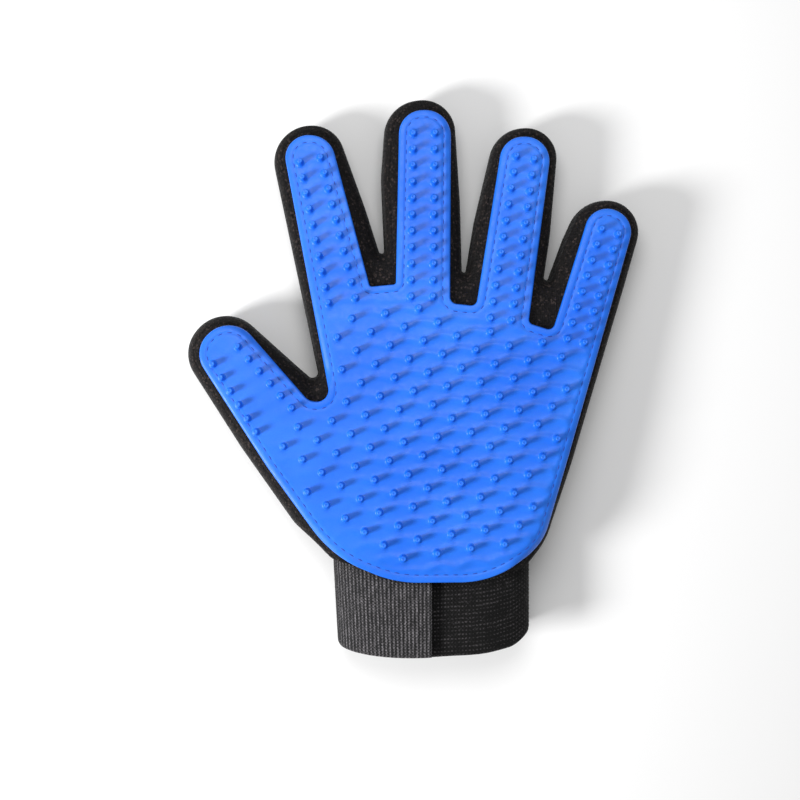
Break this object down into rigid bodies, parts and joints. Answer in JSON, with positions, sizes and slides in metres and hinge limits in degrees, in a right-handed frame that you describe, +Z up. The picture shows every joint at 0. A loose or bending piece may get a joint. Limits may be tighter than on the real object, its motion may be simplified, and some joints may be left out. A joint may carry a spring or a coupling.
{
  "type": "pet grooming glove",
  "caption": "Five-finger glove with a nubbed silicone palm pad, knit and mesh body, and an elastic wrist strap with a hook-and-loop tab.",
  "frame": {"origin": "on the surface that the glove lies on, under the middle of the palm", "axes": "+Y from the wrist to the middle fingertip, +X from the thumb's side to the little finger, +Z up out of the palm; the glove lies on its back"},
  "size_m": [0.1943, 0.2384, 0.0359],
  "materials": {
    "silicone": "soft satin silicone with moulded nubs",
    "knit": "fine black knit with a faint brown grain",
    "mesh": "black breathable spacer mesh",
    "lining": "smooth black knit",
    "elastic": "black ribbed elastic webbing",
    "tab": "grey ribbed webbing",
    "hook": "hook tape",
    "loop": "brushed loop tape"
  },
  "bodies": {
    "palm": {"mesh_back_palm": "mesh", "palm_fabric_palm": "knit", "silicone_pad_palm": "silicone", "strap_tab_root": "tab", "loop_patch": "loop", "elastic_strap": "elastic", "wrist_lining": "lining"},
    "strap_tab": {"strap_tab": "tab", "hook_patch": "hook"},
    "thumb_base": {"mesh_back_thumb_base": "mesh", "palm_fabric_thumb_base": "knit", "silicone_pad_thumb_base": "silicone"},
    "thumb_tip": {"mesh_back_thumb_tip": "mesh", "palm_fabric_thumb_tip": "knit", "silicone_pad_thumb_tip": "silicone"},
    "index_base": {"mesh_back_index_base": "mesh", "palm_fabric_index_base": "knit", "silicone_pad_index_base": "silicone"},
    "index_tip": {"mesh_back_index_tip": "mesh", "palm_fabric_index_tip": "knit", "silicone_pad_index_tip": "silicone"},
    "middle_base": {"mesh_back_middle_base": "mesh", "palm_fabric_middle_base": "knit", "silicone_pad_middle_base": "silicone"},
    "middle_tip": {"mesh_back_middle_tip": "mesh", "palm_fabric_middle_tip": "knit", "silicone_pad_middle_tip": "silicone"},
    "ring_base": {"mesh_back_ring_base": "mesh", "palm_fabric_ring_base": "knit", "silicone_pad_ring_base": "silicone"},
    "ring_tip": {"mesh_back_ring_tip": "mesh", "palm_fabric_ring_tip": "knit", "silicone_pad_ring_tip": "silicone"},
    "little_base": {"mesh_back_little_base": "mesh", "palm_fabric_little_base": "knit", "silicone_pad_little_base": "silicone"},
    "little_tip": {"mesh_back_little_tip": "mesh", "palm_fabric_little_tip": "knit", "silicone_pad_little_tip": "silicone"}
  },
  "joints": [
    {"name": "thumb_base_bend", "type": "hinge", "parent": "palm", "child": "thumb_base", "pos_m": [-0.07075, 0.00875, 0.0278], "axis": [0.7975, 0.6019, -0.0409], "range_deg": [0, 60]},
    {"name": "thumb_middle_bend", "type": "hinge", "parent": "thumb_base", "child": "thumb_tip", "pos_m": [-0.07888, 0.01953, 0.02707], "axis": [0.7975, 0.6019, -0.0409], "range_deg": [0, 60]},
    {"name": "index_base_bend", "type": "hinge", "parent": "palm", "child": "index_base", "pos_m": [-0.0428, 0.0732, 0.02342], "axis": [0.9723, 0.233, -0.0158], "range_deg": [0, 60]},
    {"name": "index_middle_bend", "type": "hinge", "parent": "index_base", "child": "index_tip", "pos_m": [-0.04755, 0.09304, 0.02207], "axis": [0.9723, 0.233, -0.0158], "range_deg": [0, 60]},
    {"name": "middle_base_bend", "type": "hinge", "parent": "palm", "child": "middle_base", "pos_m": [-0.002, 0.0765, 0.0232], "axis": [1, 0, 0], "range_deg": [0, 60]},
    {"name": "middle_middle_bend", "type": "hinge", "parent": "middle_base", "child": "middle_tip", "pos_m": [-0.002, 0.0975, 0.02177], "axis": [1, 0, 0], "range_deg": [0, 60]},
    {"name": "ring_base_bend", "type": "hinge", "parent": "palm", "child": "ring_base", "pos_m": [0.0341, 0.0667, 0.02386], "axis": [0.9882, -0.1529, 0.0104], "range_deg": [0, 60]},
    {"name": "ring_middle_bend", "type": "hinge", "parent": "ring_base", "child": "ring_tip", "pos_m": [0.03731, 0.08745, 0.02245], "axis": [0.9882, -0.1529, 0.0104], "range_deg": [0, 60]},
    {"name": "little_base_bend", "type": "hinge", "parent": "palm", "child": "little_base", "pos_m": [0.0697, 0.05675, 0.02454], "axis": [0.9529, -0.3027, 0.0206], "range_deg": [0, 60]},
    {"name": "little_middle_bend", "type": "hinge", "parent": "little_base", "child": "little_tip", "pos_m": [0.07394, 0.07009, 0.02363], "axis": [0.9529, -0.3027, 0.0206], "range_deg": [0, 60]},
    {"name": "strap_tab_open", "type": "hinge", "parent": "palm", "child": "strap_tab", "pos_m": [-0.0405, -0.082, 0.013], "axis": [0, -1, 0], "range_deg": [0, 150]}
  ]
}
